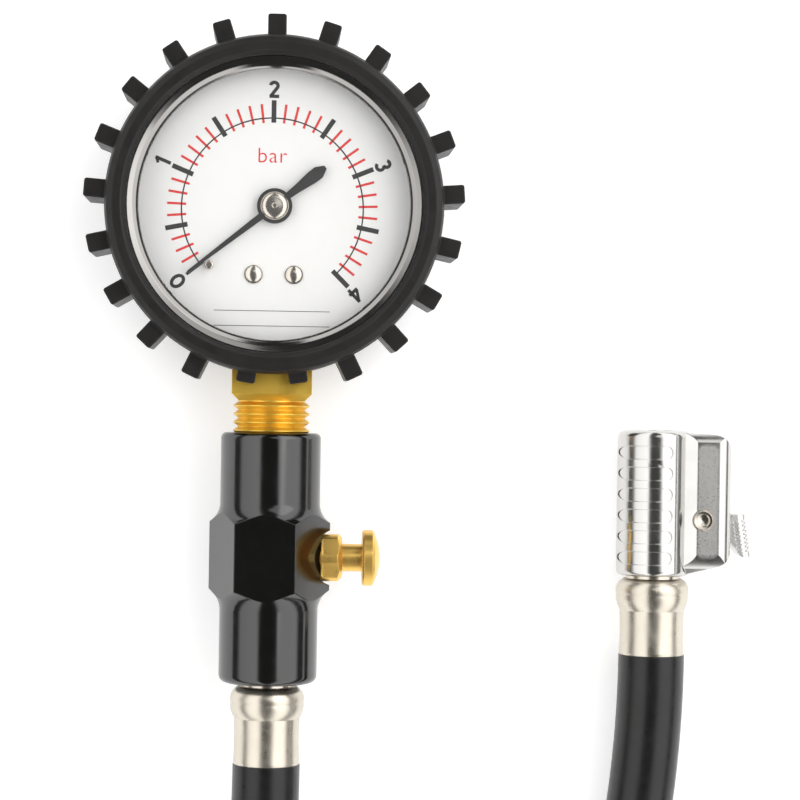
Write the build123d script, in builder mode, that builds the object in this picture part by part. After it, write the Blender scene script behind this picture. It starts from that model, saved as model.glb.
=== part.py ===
from build123d import *
import os
from math import sin, cos, tan, radians, degrees, pi, sqrt, atan2

# Tyre pressure gauge with rubber boot, push-button bleed valve, hose and
# clip-on valve chuck, lying flat: dial faces +Z, hose leaves towards -Y.
# Origin: gauge axis on the boot's back face. Millimetres.

# ---------------------------------------------------------------- gauge head
boot_r = 30.0          # outside of the rubber ring
boot_front_z = 27.2
boot_lip_r = 26.25     # front opening
boot_wall_r = 26.9     # bore over the case
tooth_tip_r = 33.8
tooth_w = 3.3
tooth_z0 = 9.0
tooth_z1 = 24.4
tooth_n = 21

case_r = 26.8
case_ir = 26.0
case_z0 = 2.0
bezel_r = 27.6
bezel_ir = 24.0
lens_r = 25.8
lens_z0 = 23.0
lens_z1 = 24.5
dial_r = 25.3
dial_z0 = 19.5
dial_z1 = 20.0
hub = (0.0, 0.0)

# ---------------------------------------------------------------- stem and body
axis_z = 13.5          # height of the stem, valve body and hose axis
block_half = 7.15
thread_crest = 6.9     # M14 x 1.5
thread_root = 6.05
pitch = 1.5
block_y = -34.7
body_y0 = -40.5        # top of the black body
body_y1 = -85.7
body_r = 9.05
hex_af = 19.0
bleed_y = -63.0

# ---------------------------------------------------------------- hose and chuck
hose_r = 6.1
hose_ir = 3.0
chuck_x = 70.9
chuck_z = 6.8
chuck_r = 6.8
chuck_y0 = -39.1
chuck_y1 = -65.9
lever_pin_x = chuck_x + 8.4
lever_pin_y = -55.5

os.makedirs("parts", exist_ok=True)
made = []


def save(p, label):
    p.part.label = label
    export_step(p.part, "parts/" + label + ".step")
    made.append((label, p.part))


def along_y(x, y, z):
    """Plane whose local x is +X, local y is +Y, at height z: a profile drawn
    in it turns about an axis parallel to Y."""
    return Plane(origin=(x, y, z), x_dir=(1, 0, 0), z_dir=(0, 0, 1))


# ================================================================ rubber boot
with BuildPart() as rubber_boot:
    with BuildSketch(Plane.XZ) as sk:
        with BuildLine():
            Polyline((0, 0), (boot_r - 1.2, 0), (boot_r, 1.2), (boot_r, boot_front_z - 1.3),
                     (boot_r - 0.45, boot_front_z - 0.4), (boot_r - 1.4, boot_front_z),
                     (boot_lip_r + 0.8, boot_front_z), (boot_lip_r, boot_front_z - 0.6),
                     (boot_lip_r, 26.05), (bezel_r + 0.05, 26.05), (bezel_r + 0.05, 20.7),
                     (boot_wall_r, 20.7), (boot_wall_r, 1.95), (0, 1.95), close=True)
        make_face()
    revolve(axis=Axis.Z)
    # teeth: one at the top, the two beside the stem are thin front tabs
    for i in range(tooth_n):
        a = 90.0 + i * 360.0 / tooth_n
        below = abs(((a - 270.0 + 180.0) % 360.0) - 180.0) < 10.0
        z0 = 21.4 if below else tooth_z0
        tip = 31.9 if below else tooth_tip_r
        with BuildSketch(Plane.XY.offset(z0)):
            with PolarLocations(0, 1, start_angle=a):
                with Locations((0.5 * (boot_r - 1.0 + tip), 0)):
                    RectangleRounded(tip - boot_r + 1.0, tooth_w, 0.45)
        extrude(amount=tooth_z1 - z0)
    # window for the square stem
    with BuildSketch(Plane(origin=(0, -20.0, axis_z), x_dir=(1, 0, 0), z_dir=(0, -1, 0))):
        Rectangle(2 * block_half + 0.3, 2 * block_half + 0.3)
    extrude(amount=20.0, mode=Mode.SUBTRACT)
    # four moulded vent slots round the back edge
    with BuildSketch(Plane.XY.offset(-0.01)):
        with PolarLocations(19.0, 6):
            SlotOverall(7.0, 2.4, rotation=90)
    extrude(amount=0.6, mode=Mode.SUBTRACT)
save(rubber_boot, "rubber_boot")

# ================================================================ case
with BuildPart() as gauge_case:
    with BuildSketch(Plane.XZ):
        with BuildLine():
            Polyline((0, case_z0), (case_r - 0.8, case_z0), (case_r, case_z0 + 0.8), (case_r, 22.2),
                     (24.9, 22.2), (24.9, 21.4), (case_ir, 21.4), (case_ir, case_z0 + 1.4),
                     (case_ir - 0.6, case_z0 + 0.8), (0, case_z0 + 0.8), close=True)
        make_face()
    revolve(axis=Axis.Z)
    with BuildSketch(Plane(origin=(0, -20.0, axis_z), x_dir=(1, 0, 0), z_dir=(0, -1, 0))):
        Rectangle(12.2, 11.2)
    extrude(amount=10.0, mode=Mode.SUBTRACT)
save(gauge_case, "gauge_case")

# ================================================================ bezel, lens, gasket
with BuildPart() as bezel:
    with BuildSketch(Plane.XZ):
        with BuildLine():
            Polyline((24.0, 24.52), (25.85, 24.52), (25.85, 22.25), (case_r + 0.03, 22.25),
                     (case_r + 0.03, 20.8), (bezel_r, 20.8), (bezel_r, 25.5), (27.1, 25.95),
                     (26.0, 25.98), (25.1, 25.75), (24.45, 25.35), (24.1, 25.0), close=True)
        make_face()
    revolve(axis=Axis.Z)
save(bezel, "bezel")

with BuildPart() as lens:
    with BuildSketch(Plane.XY.offset(lens_z0)):
        Circle(lens_r)
    extrude(amount=lens_z1 - lens_z0)
    chamfer(lens.edges().filter_by(GeomType.CIRCLE), 0.2)
save(lens, "lens")

with BuildPart() as lens_gasket:
    with BuildSketch(Plane.XY.offset(22.22)):
        Circle(25.75)
        Circle(24.3, mode=Mode.SUBTRACT)
    extrude(amount=0.76)
save(lens_gasket, "lens_gasket")

# ================================================================ dial
stop_a = radians(90 + 132.9)
stop_x, stop_y = 15.7 * cos(stop_a), 15.7 * sin(stop_a)
with BuildPart() as dial:
    with BuildSketch(Plane.XY.offset(dial_z0)):
        Circle(dial_r)
        Circle(1.2, mode=Mode.SUBTRACT)
        with Locations((-3.6, -12.2), (3.6, -12.2)):
            Circle(0.9, mode=Mode.SUBTRACT)
        with Locations((stop_x, stop_y)):
            Circle(0.42, mode=Mode.SUBTRACT)
    extrude(amount=dial_z1 - dial_z0)
save(dial, "dial")

with BuildPart() as dial_screws:
    for sx in (-3.6, 3.6):
        with BuildSketch(Plane(origin=(sx, -12.2, 0), x_dir=(1, 0, 0), z_dir=(0, -1, 0))):
            with BuildLine():
                l1 = Polyline((0, 14.4), (0.85, 14.4), (0.85, 20.01), (1.65, 20.01), (1.65, 20.25))
                l2 = ThreePointArc((1.65, 20.25), (1.0, 20.68), (0.2, 20.82))
                Polyline((0.2, 20.82), (0, 20.82), (0, 14.4))
            make_face()
        revolve(axis=Axis((sx, -12.2, 0), (0, 0, 1)))
save(dial_screws, "dial_screws")

with BuildPart() as pointer_stop_pin:
    with BuildSketch(Plane.XY.offset(19.2)):
        with Locations((stop_x, stop_y)):
            Circle(0.4)
    extrude(amount=0.82)
    with BuildSketch(Plane.XY.offset(20.01)):
        with Locations((stop_x, stop_y)):
            Circle(0.8)
    extrude(amount=1.75)
    fillet(pointer_stop_pin.edges().group_by(Axis.Z)[-1], 0.3)
save(pointer_stop_pin, "pointer_stop_pin")

# ================================================================ pointer
rest_a = 90 + 128.25   # the needle rests on the zero mark
with BuildPart() as pointer:
    with BuildSketch(Plane.XY.offset(21.0)):
        with BuildLine():
            Polyline((2.0, 0.62), (19.2, 0.24), (20.0, 0.0), (19.2, -0.24), (2.0, -0.62), close=True)
        make_face()
        with BuildLine():
            Polyline((-2.0, 0.55), (-5.0, 0.75), (-8.4, 1.15), (-9.9, 1.15), (-11.4, 0.35),
                     (-11.4, -0.35), (-9.9, -1.15), (-8.4, -1.15), (-5.0, -0.75), (-2.0, -0.55), close=True)
        make_face()
        Circle(3.15)
        Circle(0.52, mode=Mode.SUBTRACT)
    extrude(amount=0.45)
pointer.part = pointer.part.rotate(Axis.Z, rest_a)
save(pointer, "pointer")

with BuildPart() as pointer_cap:
    with BuildSketch(Plane.XZ):
        with BuildLine():
            Polyline((0, 22.45), (0.35, 22.45), (0.5, 22.58), (1.3, 22.5))
            ThreePointArc((1.3, 22.5), (2.2, 22.2), (2.55, 21.75))
            Polyline((2.55, 21.75), (2.55, 21.46), (0.52, 21.46), (0.52, 22.1), (0, 22.1), (0, 22.45))
        make_face()
    revolve(axis=Axis.Z)
save(pointer_cap, "pointer_cap")

# ================================================================ movement
# The plates hold a pinion on the gauge axis and a toothed sector beside it.
pin_t, sec_t, gm = 12, 108, 0.2      # teeth and module: 1.2 mm and 10.8 mm pitch radii
pin_pr, sec_pr = pin_t * gm / 2, sec_t * gm / 2
tail_r = 3.5
sec_ang = 38.0                        # direction of the sector's pivot from the pinion
sec_c = ((pin_pr + sec_pr + 0.06) * cos(radians(sec_ang)), (pin_pr + sec_pr + 0.06) * sin(radians(sec_ang)))

with BuildPart() as pinion_shaft:
    with BuildSketch(Plane.XY.offset(7.6)):
        Circle(0.5)
    extrude(amount=14.4)
    with BuildSketch(Plane.XY.offset(10.2)):
        Circle(pin_pr - 0.24)
        with PolarLocations(0, pin_t, start_angle=sec_ang):
            with Locations((pin_pr - 0.16, 0)):
                Trapezoid(0.36, 0.4, 72, rotation=-90)
    extrude(amount=2.6)
    with BuildSketch(Plane.XY.offset(15.6)):
        Circle(1.1)
    extrude(amount=0.9)
save(pinion_shaft, "pinion_shaft")

with BuildPart() as sector_gear:
    a0 = sec_ang + 180.0 - 13.333   # at rest the pinion meets the sector's lower end
    with BuildSketch(Plane.XY.offset(11.0)):
        with BuildLine():
            c, s = cos, sin
            p = [(2.0, -1.4), ((sec_pr - 1.6) * c(radians(-19)), (sec_pr - 1.6) * s(radians(-19))),
                 ((sec_pr - 0.25) * c(radians(-20)), (sec_pr - 0.25) * s(radians(-20)))]
            q = [(x, -y) for x, y in p]
            Line(p[0], p[1])
            Line(p[1], p[2])
            ThreePointArc(p[2], (sec_pr - 0.25, 0), q[2])
            Line(q[2], q[1])
            Line(q[1], q[0])
            Line(q[0], p[0])
        make_face()
        Circle(2.2)
        with BuildLine():
            Polyline((-1.5, 1.1), (-tail_r, 0.8), (-tail_r, -0.8), (-1.5, -1.1), close=True)
        make_face()
        with Locations((-tail_r, 0)):
            Circle(1.3)
            Circle(0.4, mode=Mode.SUBTRACT)
        n_half = 6
        for k in range(-n_half + 1, n_half + 1):
            ang = (k - 0.5) * 360.0 / sec_t
            with Locations(Location(((sec_pr - 0.16) * c(radians(ang)), (sec_pr - 0.16) * s(radians(ang))), ang)):
                Trapezoid(0.36, 0.4, 72, rotation=-90)
        Circle(0.75, mode=Mode.SUBTRACT)
    extrude(amount=1.0)
sector_gear.part = sector_gear.part.rotate(Axis.Z, a0).translate((sec_c[0], sec_c[1], 0))
save(sector_gear, "sector_gear")

with BuildPart() as sector_shaft:
    with BuildSketch(Plane.XY.offset(7.6)):
        with Locations(sec_c):
            Circle(0.75)
    extrude(amount=7.8)
save(sector_shaft, "sector_shaft")

# link between the tube's tip and the sector's tail
tail = (sec_c[0] + tail_r * cos(radians(sec_ang - 13.333)), sec_c[1] + tail_r * sin(radians(sec_ang - 13.333)))
plate_outline = [(-8.6, -15.8), (8.6, -15.8), (9.6, -9.0), (13.5, 3.5), (13.0, 9.6), (8.6, 11.6),
                 (-3.5, 7.0), (-6.0, 2.0), (-9.6, -9.0)]
pillars = [(-3.2, 5.0), (12.0, 3.6)]
frame_screws = [(-7.0, -14.2), (7.0, -14.2)]


with BuildPart() as movement_back_plate:
    with BuildSketch(Plane.XY.offset(8.0)):
        with BuildLine():
            Polyline(*plate_outline, close=True)
        make_face()
        Circle(0.55, mode=Mode.SUBTRACT)
        with Locations(sec_c):
            Circle(0.8, mode=Mode.SUBTRACT)
        with Locations(*pillars):
            Circle(0.7, mode=Mode.SUBTRACT)
        with Locations(*frame_screws):
            Circle(0.9, mode=Mode.SUBTRACT)
    extrude(amount=1.2)
save(movement_back_plate, "movement_back_plate")

with BuildPart() as movement_front_plate:
    with BuildSketch(Plane.XY.offset(14.2)):
        with BuildLine():
            Polyline(*plate_outline, close=True)
        make_face()
        Circle(0.55, mode=Mode.SUBTRACT)
        with Locations(sec_c):
            Circle(0.8, mode=Mode.SUBTRACT)
        with Locations(*pillars):
            Circle(0.7, mode=Mode.SUBTRACT)
        with Locations((-3.6, -12.2), (3.6, -12.2), *frame_screws):
            Circle(0.9, mode=Mode.SUBTRACT)
    extrude(amount=1.2)
save(movement_front_plate, "movement_front_plate")

with BuildPart() as movement_screws:
    for px, py in frame_screws:
        with BuildSketch(Plane.XY.offset(7.4)):
            with Locations((px, py)):
                Circle(0.85)
        extrude(amount=8.1)
        with BuildSketch(Plane.XY.offset(15.42)):
            with Locations((px, py)):
                Circle(1.4)
                Rectangle(3.0, 0.4, mode=Mode.SUBTRACT)
        extrude(amount=0.7)
        with BuildSketch(Plane.XY.offset(15.42)):
            with Locations((px, py)):
                Circle(1.4)
        extrude(amount=0.3)
save(movement_screws, "movement_screws")

with BuildPart() as movement_pillars:
    for px, py in pillars:
        with BuildSketch(Plane.XY.offset(9.22)):
            with Locations((px, py)):
                Circle(1.2)
        extrude(amount=4.96)
        with BuildSketch(Plane.XY.offset(8.02)):
            with Locations((px, py)):
                Circle(0.68)
        extrude(amount=7.6)
save(movement_pillars, "movement_pillars")

with BuildPart() as dial_spacers:
    for sx in (-3.6, 3.6):
        with BuildSketch(Plane.XY.offset(15.42)):
            with Locations((sx, -12.2)):
                Circle(1.9)
                Circle(0.88, mode=Mode.SUBTRACT)
        extrude(amount=4.06)
save(dial_spacers, "dial_spacers")

with BuildPart() as hairspring:
    # flat spiral strip from the collet on the pinion out to the stud
    inner, outer = [], []
    for k in range(0, 24 * 4 + 1):
        f = k / 24.0
        rr, aa = 1.84 + 0.6 * f, 2 * pi * f
        inner.append(((rr - 0.06) * cos(aa), (rr - 0.06) * sin(aa)))
        outer.append(((rr + 0.06) * cos(aa), (rr + 0.06) * sin(aa)))
    with BuildSketch(Plane.XY.offset(16.7)):
        with BuildLine():
            Polyline(*inner, *outer[::-1], close=True)
        make_face()
    extrude(amount=0.5)
save(hairspring, "hairspring")

with BuildPart() as spring_collet:
    with BuildSketch(Plane.XY.offset(16.6)):
        Circle(1.75)
        Circle(0.5, mode=Mode.SUBTRACT)
    extrude(amount=0.7)
save(spring_collet, "spring_collet")

with BuildPart() as hairspring_stud:
    with BuildSketch(Plane.XY.offset(15.42)):
        with Locations((4.85, 0)):
            Circle(0.55)
    extrude(amount=1.9)
save(hairspring_stud, "hairspring_stud")

# ================================================================ Bourdon tube
tube_r = 19.8
tb_a0, tb_a1 = -104.0, 128.0
with BuildPart() as bourdon_tube:
    with BuildLine() as bl:
        CenterArc((0, 0, 12.5), tube_r, tb_a0, tb_a1 - tb_a0)
    with BuildSketch(Plane(origin=bl.line @ 0, z_dir=bl.line % 0, x_dir=(0, 0, 1))):
        SlotOverall(6.4, 2.4)
        SlotOverall(5.4, 1.4, mode=Mode.SUBTRACT)
    sweep()
save(bourdon_tube, "bourdon_tube")

ta = radians(tb_a1)
tip = (tube_r * cos(ta), tube_r * sin(ta))
with BuildPart() as tube_tip:
    with BuildSketch(Plane(origin=(tip[0], tip[1], 12.5), z_dir=(-sin(ta), cos(ta), 0), x_dir=(0, 0, 1))):
        SlotOverall(6.4, 2.4)
    extrude(amount=2.4)
    lug = (tip[0] - 1.4 * sin(ta) - 2.6 * cos(ta), tip[1] + 1.4 * cos(ta) - 2.6 * sin(ta))
    with BuildSketch(Plane.XY.offset(12.4)):
        with Locations(lug):
            Circle(1.4)
        with BuildLine():
            n = (cos(ta), sin(ta))
            t = (-sin(ta), cos(ta))
            cpt = (tip[0] + 1.2 * t[0], tip[1] + 1.2 * t[1])
            Polyline((cpt[0] + t[0] * 1.1 - n[0] * 0.8, cpt[1] + t[1] * 1.1 - n[1] * 0.8),
                     (lug[0] + t[0] * 1.1, lug[1] + t[1] * 1.1),
                     (lug[0] - t[0] * 1.1, lug[1] - t[1] * 1.1),
                     (cpt[0] - t[0] * 1.1 - n[0] * 0.8, cpt[1] - t[1] * 1.1 - n[1] * 0.8), close=True)
        make_face()
    extrude(amount=1.2)
    with BuildSketch(Plane.XY.offset(12.0)):
        with Locations(lug):
            Circle(0.45)
    extrude(amount=2.0, mode=Mode.SUBTRACT)
save(tube_tip, "tube_tip")

# link: pivots in the sector's tail, the other end passes the tube tip's lug with clearance
lx, ly = lug[0] - tail[0], lug[1] - tail[1]
link_len = sqrt(lx * lx + ly * ly)
link_ang = degrees(atan2(ly, lx))
with BuildPart() as link:
    with BuildSketch(Plane(origin=(tail[0], tail[1], 12.12), x_dir=(cos(radians(link_ang)), sin(radians(link_ang)), 0),
                           z_dir=(0, 0, 1))):
        with Locations(((link_len - 4.3) / 2, 0)):
            Rectangle(link_len - 4.3, 1.1)
        with Locations((0, 0), (link_len - 4.3, 0)):
            Circle(1.1)
        with Locations((0, 0)):
            Circle(0.45, mode=Mode.SUBTRACT)
    extrude(amount=0.5)
save(link, "link")
with BuildPart() as link_pin:
    with BuildSketch(Plane.XY.offset(10.7)):
        with Locations(tail):
            Circle(0.4)
    extrude(amount=2.2)
save(link_pin, "link_pin")
print("link", round(link_len, 2), "tail", tail, "lug", lug)

# ================================================================ brass stem
with BuildPart() as gauge_stem:
    # tongue between the movement's plates, and the foot that holds the tube's root
    with BuildSketch(Plane(origin=(0, -10.8, 11.7), x_dir=(1, 0, 0), z_dir=(0, -1, 0))):
        Rectangle(17.0, 4.94)
    extrude(amount=5.2)
    with BuildSketch(Plane(origin=(0, -15.95, axis_z), x_dir=(1, 0, 0), z_dir=(0, -1, 0))):
        Rectangle(12.0, 10.6)
    extrude(amount=11.15)
    for px, py in frame_screws:
        with BuildSketch(Plane.XY.offset(9.0)):
            with Locations((px, py)):
                Circle(0.88)
        extrude(amount=5.4, mode=Mode.SUBTRACT)
    with BuildSketch(Plane(origin=(0, -27.05, axis_z), x_dir=(1, 0, 0), z_dir=(0, -1, 0))):
        Rectangle(2 * block_half, 2 * block_half)
    extrude(amount=-block_y - 27.05)
    chamfer(gauge_stem.edges().group_by(Axis.Y)[0], 1.2)
    # threaded end
    with BuildSketch(along_y(0, 0, axis_z)):
        pts = [(0, block_y + 0.2), (thread_root, block_y + 0.2), (thread_root, block_y)]
        y = block_y - 0.25
        while y - pitch > -49.6:
            pts += [(thread_root, y), (thread_crest, y - 0.62), (thread_crest, y - 0.80), (thread_root, y - 1.42)]
            y -= pitch
        pts += [(thread_root, y), (thread_root, -49.6), (5.6, -50.0), (0, -50.0)]
        with BuildLine():
            Polyline(*pts, close=True)
        make_face()
    revolve(axis=Axis((0, 0, axis_z), (0, 1, 0)))
    # gas way
    with BuildSketch(Plane(origin=(0, -50.01, axis_z), x_dir=(1, 0, 0), z_dir=(0, 1, 0))):
        Circle(1.5)
    extrude(amount=29.4, mode=Mode.SUBTRACT)
    # seat of the curved tube's root
    with BuildLine() as b2:
        CenterArc((0, 0, 12.5), tube_r, tb_a0 - 0.3, 38.0)
    with BuildSketch(Plane(origin=b2.line @ 0, z_dir=b2.line % 0, x_dir=(0, 0, 1))):
        SlotOverall(6.5, 2.5)
    sweep(mode=Mode.SUBTRACT)
save(gauge_stem, "gauge_stem")

with BuildPart() as stem_seal:
    with BuildSketch(Plane(origin=(0, -50.02, axis_z), x_dir=(1, 0, 0), z_dir=(0, -1, 0))):
        Circle(5.5)
        Circle(2.6, mode=Mode.SUBTRACT)
    extrude(amount=1.4)
save(stem_seal, "stem_seal")

# ================================================================ black valve body
with BuildPart() as valve_body:
    yt, yb = body_y0, body_y1
    with BuildSketch(along_y(0, 0, axis_z)):
        with BuildLine():
            Polyline((0, yt), (body_r - 1.0, yt))
            ThreePointArc((body_r - 1.0, yt), (body_r - 0.29, yt - 0.29), (body_r, yt - 1.0))
            Line((body_r, yt - 1.0), (body_r, yt - 12.8))
            ThreePointArc((body_r, yt - 12.8), (9.55, yt - 14.7), (11.3, yt - 16.4))
            Line((11.3, yt - 16.4), (11.3, yt - 28.2))
            ThreePointArc((11.3, yt - 28.2), (9.55, yt - 29.9), (body_r - 0.15, yt - 31.8))
            Line((body_r - 0.15, yt - 31.8), (body_r - 0.15, yb + 1.4))
            ThreePointArc((body_r - 0.15, yb + 1.4), (body_r - 0.56, yb + 0.41), (body_r - 1.55, yb))
            Polyline((body_r - 1.55, yb), (0, yb), (0, yt))
        make_face()
    revolve(axis=Axis((0, 0, axis_z), (0, 1, 0)))
    # hexagon faces cut from the flared middle, tightened 5 degrees past square to the dial
    with BuildSketch(Plane(origin=(0, yt, axis_z), x_dir=(1, 0, 0), z_dir=(0, -1, 0))):
        RegularPolygon(radius=hex_af / 2, side_count=6, major_radius=False, rotation=5)
    extrude(amount=yt - yb, mode=Mode.INTERSECT)
    # the stem's threaded socket
    with BuildSketch(Plane(origin=(0, yt + 0.01, axis_z), x_dir=(1, 0, 0), z_dir=(0, -1, 0))):
        Circle(thread_crest + 0.04)
    extrude(amount=11.0, mode=Mode.SUBTRACT)
    # through way
    with BuildSketch(Plane(origin=(0, yt, axis_z), x_dir=(1, 0, 0), z_dir=(0, -1, 0))):
        Circle(2.0)
    extrude(amount=yt - yb, mode=Mode.SUBTRACT)
    # the hose fitting's socket
    with BuildSketch(Plane(origin=(0, yb - 0.01, axis_z), x_dir=(1, 0, 0), z_dir=(0, 1, 0))):
        Circle(5.0)
    extrude(amount=9.0, mode=Mode.SUBTRACT)
    # bleed valve: spot face on the corner, threaded bore, chamber
    with BuildSketch(Plane(origin=(9.3, bleed_y, axis_z), x_dir=(0, 1, 0), z_dir=(1, 0, 0))):
        Circle(5.0)
    extrude(amount=4.0, mode=Mode.SUBTRACT)
    with BuildSketch(Plane(origin=(2.8, bleed_y, axis_z), x_dir=(0, 1, 0), z_dir=(1, 0, 0))):
        Circle(3.6)
    extrude(amount=7.0, mode=Mode.SUBTRACT)
    with BuildSketch(Plane(origin=(-1.6, bleed_y, axis_z), x_dir=(0, 1, 0), z_dir=(1, 0, 0))):
        Circle(3.3)
    extrude(amount=4.5, mode=Mode.SUBTRACT)
save(valve_body, "valve_body")

# ================================================================ bleed valve
with BuildPart() as bleed_valve_body:
    with BuildSketch(Plane(origin=(0, bleed_y, axis_z), x_dir=(1, 0, 0), z_dir=(0, 0, 1))):
        with BuildLine():
            Polyline((3.0, 1.5), (3.0, 3.1), (3.4, 3.55), (9.3, 3.55), (9.3, 4.5), (12.3, 4.5), (13.1, 3.7),
                     (13.1, 2.57), (5.0, 2.57), (5.0, 1.5), close=True)
        make_face()
    revolve(axis=Axis((0, bleed_y, axis_z), (1, 0, 0)))
    with BuildSketch(Plane(origin=(9.6, bleed_y, axis_z), x_dir=(0, 1, 0), z_dir=(1, 0, 0))):
        Circle(6.0)
        RegularPolygon(radius=4.2, side_count=6, major_radius=False, rotation=30, mode=Mode.SUBTRACT)
    extrude(amount=4.0, mode=Mode.SUBTRACT)
save(bleed_valve_body, "bleed_valve_body")

with BuildPart() as bleed_button:
    with BuildSketch(Plane(origin=(0, bleed_y, axis_z), x_dir=(1, 0, 0), z_dir=(0, 0, 1))):
        with BuildLine():
            Polyline((1.6, 0), (1.6, 2.7), (2.1, 2.7), (2.1, 1.25), (9.0, 1.25), (9.0, 2.2), (9.3, 2.5),
                     (16.8, 2.5), (16.8, 4.8), (17.1, 5.1), (18.6, 5.1), (19.0, 4.7), (19.07, 4.3))
            ThreePointArc((19.07, 4.3), (19.8, 2.3), (20.05, 0.3))
            Polyline((20.05, 0.3), (20.05, 0), (1.6, 0))
        make_face()
    revolve(axis=Axis((0, bleed_y, axis_z), (1, 0, 0)))
save(bleed_button, "bleed_button")

with BuildPart() as bleed_o_ring:
    with BuildSketch(Plane(origin=(0, bleed_y, axis_z), x_dir=(1, 0, 0), z_dir=(0, 0, 1))):
        with BuildLine():
            Polyline((2.12, 1.27), (2.98, 1.27), (2.98, 2.35), (2.7, 2.6), (2.4, 2.6), (2.12, 2.35), close=True)
        make_face()
    revolve(axis=Axis((0, bleed_y, axis_z), (1, 0, 0)))
save(bleed_o_ring, "bleed_o_ring")


def coil(start, direction, length, r, wire, turns):
    """Spring as a helix of round wire along a direction."""
    pl = Plane(origin=start, z_dir=direction)
    path = Helix(pitch=length / turns, height=length, radius=r)
    path = pl.from_local_coords(path)
    sec = Plane(origin=path @ 0, z_dir=path % 0)
    return path, sec


with BuildPart() as bleed_spring:
    pth, sec = coil((5.3, bleed_y, axis_z), (1, 0, 0), 3.4, 1.95, 0.2, 4)
    with BuildSketch(sec):
        Circle(0.2)
    sweep(path=pth, is_frenet=True)
save(bleed_spring, "bleed_spring")

# ================================================================ hose fittings and ferrules


def fitting_points(y_in, y_neck, y_fer, y_end, r_in, r_neck):
    """Hose tail profile: threaded plug, neck, flange under the ferrule and barbs."""
    pts = [(1.4, y_in), (r_in - 0.4, y_in), (r_in, y_in - 0.4), (r_in, y_neck), (r_neck, y_neck),
           (r_neck, y_fer - 0.02), (4.95, y_fer - 0.02), (4.95, y_fer - 1.0), (2.35, y_fer - 1.0)]
    y = y_fer - 2.0
    while y > y_end + 2.2:
        pts += [(2.35, y), (2.68, y), (2.35, y - 1.8)]
        y -= 2.2
    return pts + [(2.3, y_end), (1.4, y_end)]


g_y = -86.4
g_end = g_y - 14.1
c_y = -66.5
c_end = c_y - 14.1
for label, x0, z0, y_in, y_neck, y_fer, r_in, r_neck in (
        ("hose_fitting_gauge", 0.0, axis_z, -77.0, body_y1 - 0.02, g_y, 4.95, 4.7),
        ("hose_fitting_chuck", chuck_x, chuck_z, -57.4, chuck_y1 - 0.02, c_y, 3.95, 4.9)):
    with BuildPart() as hose_fitting:
        with BuildSketch(along_y(x0, 0, z0)):
            with BuildLine():
                Polyline(*fitting_points(y_in, y_neck, y_fer, y_fer - 13.5, r_in, r_neck), close=True)
            make_face()
        revolve(axis=Axis((x0, 0, z0), (0, 1, 0)))
    save(hose_fitting, label)

# crimp ferrules: barrel bulge, waist, crimped skirt
for label, x0, z0, a, bulge in (("ferrule_gauge", 0.0, axis_z, g_y, 5.7),
                                ("ferrule_chuck", chuck_x, chuck_z, c_y, 5.9)):
    with BuildPart() as ferrule:
        b, d = a - bulge, a - 14.1
        with BuildSketch(along_y(x0, 0, z0)):
            with BuildLine():
                Line((5.0, a), (5.3, a))
                ThreePointArc((5.3, a), (6.45, a - 1.1), (6.65, a - 2.9))
                ThreePointArc((6.65, a - 2.9), (6.5, a - 4.6), (5.95, b))
                Line((5.95, b), (5.95, b - 0.5))
                ThreePointArc((5.95, b - 0.5), (5.88, (b - 0.5 + d) / 2), (6.0, d + 0.5))
                Polyline((6.0, d + 0.5), (5.95, d), (5.32, d), (5.32, a - 1.2), (5.0, a - 1.2), (5.0, a))
            make_face()
        revolve(axis=Axis((x0, 0, z0), (0, 1, 0)))
    save(ferrule, label)

# ================================================================ hose
lay = 6.15
route = [(0.0, g_end, axis_z), (0.0, -128.5, axis_z), (-10.7, -159.6, 8.8), (-45.9, -201.8, lay),
         (-49.3, -256.7, lay), (-15.4, -300.0, lay), (39.1, -307.6, lay), (83.6, -275.3, lay),
         (95.0, -221.5, lay), (76.2, -169.8, lay), (67.3, -122.0, lay + 0.35), (chuck_x, -94.6, chuck_z),
         (chuck_x, c_end, chuck_z)]


def corner_radii(pts):
    out = []
    for a, b, c_ in zip(pts, pts[1:], pts[2:]):
        u = Vector(*b) - Vector(*a)
        v = Vector(*c_) - Vector(*b)
        turn = u.get_angle(v)
        out.append(0.45 * min(u.length, v.length) / tan(radians(turn / 2)))
    return out


radii = corner_radii(route)
print("hose radii", [round(r) for r in radii])
with BuildPart() as hose:
    with BuildLine() as hl:
        FilletPolyline(*route, radius=radii)
    with BuildSketch(Plane(origin=hl.line @ 0, z_dir=hl.line % 0)):
        Circle(hose_r)
        Circle(hose_ir, mode=Mode.SUBTRACT)
    sweep(transition=Transition.RIGHT)
    hose_len = sum(e.length for e in hl.edges())
    v_tube = hose.part.volume
    print("hose length", round(hose_len, 1), "volume ratio",
          round(v_tube / (pi * (hose_r ** 2 - hose_ir ** 2) * hose_len), 4))
    # necked ends gripped inside the ferrules
    for x0, z0, yf, ye in ((0, axis_z, g_y, g_end), (chuck_x, chuck_z, c_y, c_end)):
        with BuildSketch(along_y(x0, 0, z0)):
            with Locations((x0 * 0 + (5.3 + 2.7) / 2, (yf - 1.3 + ye) / 2)):
                Rectangle(5.3 - 2.7, (yf - 1.3) - ye)
        revolve(axis=Axis((x0, 0, z0), (0, 1, 0)))
save(hose, "hose")

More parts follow.
